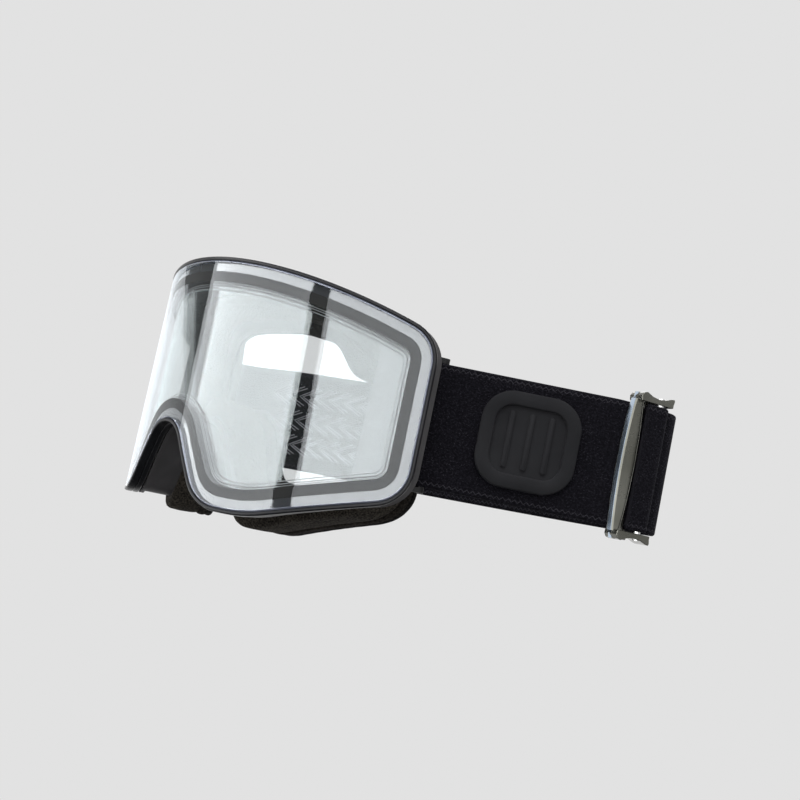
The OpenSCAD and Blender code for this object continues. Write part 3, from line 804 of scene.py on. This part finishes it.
def make_buckle():
    """Ladder buckle: a front bar with a swelling ridge, two waisted end pieces and a flat rear bar."""
    half = STRAP_W / 2 + BUCKLE_CLEARANCE
    end = half + BUCKLE_END_H
    loops, chamfers, grooves = [], [], []
    for t in np.linspace(-1, 1, 61):
        swell = max(0.0, 1 - t * t) ** 0.8
        step = min(1.0, max(0.0, (0.93 - abs(t)) / 0.03))
        left = -7.0 - 0.7 * step - 1.7 * swell
        ridge = -6.0 + 0.2 * t + 1.5 * swell
        z = t * (end - 0.2)
        top = 3.9 + 0.6 * swell
        loops.append(np.array([from_buckle(s, h, z) for s, h in (
            (left, 1.3), (left + 0.35, 2.5 + 0.5 * step), (left + 1.0, 2.9 + 0.7 * step), (ridge, top),
            (ridge + 0.12, top - 0.16), (ridge + 0.36, top - 0.16), (ridge + 0.5, top - 0.05),
            (-3.3, 3.3), (-3.1, 3.1), (-3.1, 1.3))]))
        # The strip along the bar's left bevel takes a lighter blue-grey: a painted highlight on the bevel.
        chamfers.append(np.array([from_buckle(s, h, z) for s, h in (
            (left - 0.02, 1.5), (left + 0.33, 2.55 + 0.5 * step), (left + 0.5, 2.65 + 0.5 * step),
            (left + 0.5, 2.5 + 0.5 * step), (left + 0.12, 1.5))]))
        # A near-black strip laid in the notch along the ridge: painted shade in the groove.
        grooves.append(np.array([from_buckle(s, h, z) for s, h in (
            (ridge + 0.06, top - 0.06), (ridge + 0.42, top - 0.06),
            (ridge + 0.42, top - 0.2), (ridge + 0.06, top - 0.2))]))
    bar = capped(loft("buckle_front_bar", loops, closed=False))
    piece(sharpen(bar, 12), "buckle", "slider", "buckle_plastic", "buckle")
    piece(sharpen(capped(loft("buckle_bevel_painted_highlight", chamfers, closed=False)), 12), "chamfer", "slider",
          "buckle_plastic")
    piece(sharpen(capped(loft("buckle_ridge_painted_shade", grooves, closed=False)), 12), "groove", "slider",
          "buckle_plastic")
    waist = [(-7.0, 0), (-7.2, 1.8), (-6.4, 3.0), (-5.0, 3.4), (-2.4, 2.3), (0.4, 1.9), (3.2, 2.2), (5.4, 3.0),
             (6.9, 3.3), (7.2, 2.6), (6.9, 1.2), (6.9, 0)]
    for name, sign in (("top", 1), ("low", -1)):
        rows = [np.array([from_buckle(s, h, sign * (half + z)) for s, z in waist]) for h in (-1.2, 0.5, 4.4, 6.1)]
        end_piece = bevelled(capped(loft("buckle_end_" + name, rows, closed=False)), 0.3)
        piece(sharpen(end_piece, 25), "buckle", "slider", "buckle_plastic")
        block = ((-2, 0), (1.6, 0), (1.6, 3.0), (-2, 3.0))
        rows = [np.array([from_buckle(s, h, sign * (half - 0.1 + z)) for s, z in block]) for h in (-3, 0)]
        foot = bevelled(capped(loft("buckle_foot_" + name, rows, closed=False)), 0.3)
        piece(sharpen(foot, 25), "buckle", "slider", "buckle_plastic")
    flat_bar = ((-2, -1.5), (1.6, -1.5), (1.6, -2.6), (1.0, -3), (-1.4, -3), (-2, -2.6))
    rows = [np.array([from_buckle(s, h, z) for s, h in flat_bar]) for z in (-half - 0.2, half + 0.2)]
    rear = bevelled(capped(loft("buckle_rear_bar", rows, closed=False)), 0.25)
    piece(sharpen(rear, 25), "buckle", "slider", "buckle_plastic")


# ---------------------------------------------------------------- badges and silicone print
BADGE_L, BADGE_H, BADGE_CORNER, BADGE_RISE = 35, 34, 11, 0.4
RIB_PLACES, RIB_W, RIB_L = (-7, 0, 7), 2, 20
CHEVRON_PITCH, CHEVRON_L, CHEVRON_RISE, PRINT_R = 7.5, 9, 4.6, 0.22
PRINT_ROWS = (-11, 0, 11)


def squircle(length, height, corner, count=16):
    """A rounded rectangle, clockwise from the top."""
    out = []
    for x, z, a0 in ((1, 1, 90), (1, -1, 0), (-1, -1, -90), (-1, 1, -180)):
        centre = np.array([x * (length / 2 - corner), z * (height / 2 - corner)])
        out += [centre + corner * heading(a) for a in np.linspace(a0, a0 - 90, count)]
    return np.array(out)


def make_badge(name, point, direction, node, outward):
    """Moulded rubber badge: a rounded ring, a sunk plate and three ribs."""
    along, out = heading(direction), outward

    def place(xz, up):
        return np.array([(point[0] + x * along[0] + up * out[0], point[1] + x * along[1] + up * out[1],
                          STRAP_Z + BADGE_RISE + z) for x, z in xz])
    base = STRAP_T / 2
    profile = [(0, 0.02), (0, 1.5), (-0.12, 1.8), (-0.45, 2.0), (-4.5, 2.0), (-4.8, 1.85), (-5.0, 1.5), (-5.05, 0.85),
               (-5.5, 0.8), (-9, 0.8), (-14, 0.8)]
    loops = [place(squircle(BADGE_L + 2 * d, BADGE_H + 2 * d, max(1.2, BADGE_CORNER + d)), base + up)
             for d, up in profile]
    plate = capped(loft(name + "_ring", loops, closed=False))
    piece(sharpen(plate, 40), "badge", "goggle_frame", "badge_rubber", node)
    for k, x in enumerate(RIB_PLACES):
        rib = squircle(RIB_W, RIB_L, 0.9, 6) + np.array([x, 0])
        shrunk = squircle(RIB_W - 0.5, RIB_L - 0.5, 0.7, 6) + np.array([x, 0])
        rows = [place(rib, base + 0.7), place(rib, base + 1.4), place(shrunk, base + 1.6)]
        piece(sharpen(capped(loft("%s_rib_%d" % (name, k), rows, closed=False)), 40), "badge", "goggle_frame",
              "badge_rubber")


def make_print():
    """Raised silicone chevrons on the strap's inner face, inside the area of the CAD grid."""
    back = np.array(curve(BACK_ROUTE, CURVE_STEPS))[PRINT_FROM:PRINT_TO]
    steps = np.concatenate([[0], np.cumsum(np.linalg.norm(np.diff(back, axis=0), axis=1))])
    normals = -plan_normals(back)
    lift = STRAP_T / 2 + 0.15

    def at(s, z):
        p = np.array([np.interp(s, steps, back[:, k] + lift * normals[:, k]) for k in range(2)])
        return (p[0], p[1], STRAP_Z + z)
    lines = []
    for start in np.arange(2.0, steps[-1] - 12, CHEVRON_PITCH):
        for middle in PRINT_ROWS:
            for inset in (0, 1.6):
                lines.append([at(start + inset + CHEVRON_L * abs(k) / 6,
                                 middle + (CHEVRON_RISE - 0.4 * inset) * k / 6) for k in range(-6, 7)])
    chevrons = tubes("strap_print_chevrons", lines, PRINT_R, (0.5, -0.85, 0))
    piece(chevrons, "silicone", "goggle_frame", "silicone", "strap_grip_print")


# ---------------------------------------------------------------- camera, light and stage
CAMERA_FOCAL, SENSOR = 53.8, 36
CAMERA_SPOT = (417.4, -262.1, -38.45)
CAMERA_RIGHT, CAMERA_UP = (0.5866, 0.7837, 0.2042), (-0.0376, -0.2255, 0.9735)


def make_camera():
    data = bpy.data.cameras.new("camera")
    data.lens = CAMERA_FOCAL
    data.sensor_width = SENSOR
    data.clip_start = 0.01
    camera = bpy.data.objects.new("camera", data)
    bpy.context.scene.collection.objects.link(camera)
    right = Vector(CAMERA_RIGHT).normalized()
    up = Vector(CAMERA_UP)
    up = (up - right * up.dot(right)).normalized()
    back = right.cross(up)
    spot = Vector(CAMERA_SPOT) * MM
    camera.matrix_world = Matrix(((right.x, up.x, back.x, spot.x), (right.y, up.y, back.y, spot.y),
                                  (right.z, up.z, back.z, spot.z), (0, 0, 0, 1)))
    bpy.context.scene.camera = camera


FLOOR_SIZE = 60000
FLOOR_Z = -120
BACKDROP = (0.76, 0.76, 0.76, 1)
# Softboxes round the studio, as (azimuth where each ends, how bright): azimuth 0 is in front of the lens
SOFTBOXES = [(-150, 1.4), (-51, 1.75), (7, 6.9), (15.4, 0.15), (75, 6.0), (180, 1.2)]
# A dark flag hangs at the near end of the second one: its side edges (azimuths), and how it narrows downwards
FLAG_FROM, FLAG_TO, FLAG_DARKENS = -81, -51, 1.5
FLAG_SLOPE, FLAG_LIMIT = 5.0, -34
# Lamps: place in metres, side and power
LAMPS = (((0.5, -0.5, 1.1), 0.9, 9), ((-0.9, 0.6, 0.9), 0.7, 5))


def make_light():
    world = bpy.data.worlds.new("studio")
    bpy.context.scene.world = world
    world.use_nodes = True
    nodes, links = world.node_tree.nodes, world.node_tree.links
    background = nodes["Background"]
    background.inputs["Color"].default_value = BACKDROP
    coord = nodes.new("ShaderNodeTexCoord")
    split = nodes.new("ShaderNodeSeparateXYZ")
    links.new(coord.outputs["Generated"], split.inputs[0])
    x, y, z = split.outputs
    azimuth = math_node(nodes, links, "ARCTAN2", x, math_node(nodes, links, "MULTIPLY", y, -1.0))
    leaning = math_node(nodes, links, "MULTIPLY_ADD", z, 0.3, azimuth)
    panels = SOFTBOXES[0][1]
    for (end, bright), (_, following) in zip(SOFTBOXES[:-1], SOFTBOXES[1:]):
        past = math_node(nodes, links, "GREATER_THAN", leaning, math.radians(end))
        panels = math_node(nodes, links, "MULTIPLY_ADD", past, following - bright, panels)
    flag = math_node(nodes, links, "GREATER_THAN", leaning, math.radians(FLAG_FROM))
    flag = math_node(nodes, links, "MULTIPLY", flag, math_node(
        nodes, links, "LESS_THAN", leaning, math.radians(FLAG_TO)))
    slanted = math_node(nodes, links, "MULTIPLY_ADD", z, FLAG_SLOPE, azimuth)
    flag = math_node(nodes, links, "MULTIPLY", flag, math_node(
        nodes, links, "GREATER_THAN", slanted, math.radians(FLAG_LIMIT)))
    panels = math_node(nodes, links, "MULTIPLY_ADD", flag, -FLAG_DARKENS, panels)
    upright = math_node(nodes, links, "LESS_THAN", math_node(nodes, links, "ABSOLUTE", z), 0.6)
    above = math_node(nodes, links, "MULTIPLY_ADD", z, 0.55, 0.65)

    def either(share, yes, no):
        """yes where share is 1, and no where it is 0."""
        kept = math_node(nodes, links, "MULTIPLY", share, yes)
        rest = math_node(nodes, links, "SUBTRACT", 1.0, share)
        return math_node(nodes, links, "ADD", kept, math_node(nodes, links, "MULTIPLY", no, rest))
    path = nodes.new("ShaderNodeLightPath")
    # Glossy rays see the softboxes, other rays a plain sky, and the camera an even backdrop
    lit = either(path.outputs["Is Glossy Ray"], either(upright, panels, above), above)
    strength = either(path.outputs["Is Camera Ray"], 1.0, lit)
    links.new(strength, background.inputs["Strength"])
    bpy.context.scene.view_settings.view_transform = "Standard"
    for spot, size, power in LAMPS:
        data = bpy.data.lights.new("softbox", "AREA")
        data.size = size
        data.energy = power
        lamp = bpy.data.objects.new("softbox", data)
        lamp.location = spot
        lamp.rotation_euler = (-Vector(spot)).to_track_quat("-Z", "Y").to_euler()
        bpy.context.scene.collection.objects.link(lamp)


def make_floor():
    half = FLOOR_SIZE / 2
    corners = [(x * half, y * half, FLOOR_Z) for x, y in ((-1, -1), (1, -1), (1, 1), (-1, 1))]
    floor = new_object("floor", corners, [(0, 1, 2, 3)])
    mat = bpy.data.materials.new("floor")
    mat.use_nodes = True
    nodes, links = mat.node_tree.nodes, mat.node_tree.links
    nodes.remove(nodes["Principled BSDF"])
    glow = nodes.new("ShaderNodeEmission")
    glow.inputs["Color"].default_value = BACKDROP
    links.new(glow.outputs[0], nodes["Material Output"].inputs["Surface"])
    floor.data.materials.append(mat)
    floor.visible_glossy = floor.visible_diffuse = floor.visible_shadow = False


make_camera()
make_light()
make_floor()
make_lens_unit()
make_face_foam()
make_strap()
make_buckle_strap()
make_buckle()
make_badge("badge_left", STRAND_START + 34 * heading(STRAND), STRAND, "badge_left", outside(STRAND))
badge_from, badge_to = BACK_ROUTE[6:8]
far_run = math.degrees(math.atan2(badge_to[1] - badge_from[1], badge_to[0] - badge_from[0])) + 180
make_badge("badge_right", curve(BACK_ROUTE, CURVE_STEPS)[BADGE_AT], far_run, "badge_right", outside(far_run))
make_print()
for node, mat in (("frame_shell", "frame"), ("vent_foam_top", "vent"), ("vent_foam_left", "vent"),
                  ("vent_foam_right", "vent"), ("ring_pin_left", "pin"), ("ring_pin_right", "pin"),
                  ("strap_ring_left", "ring"), ("strap_ring_right", "ring"), ("buckle_crossbar", "pin")):
    dress(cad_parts[node], mat)
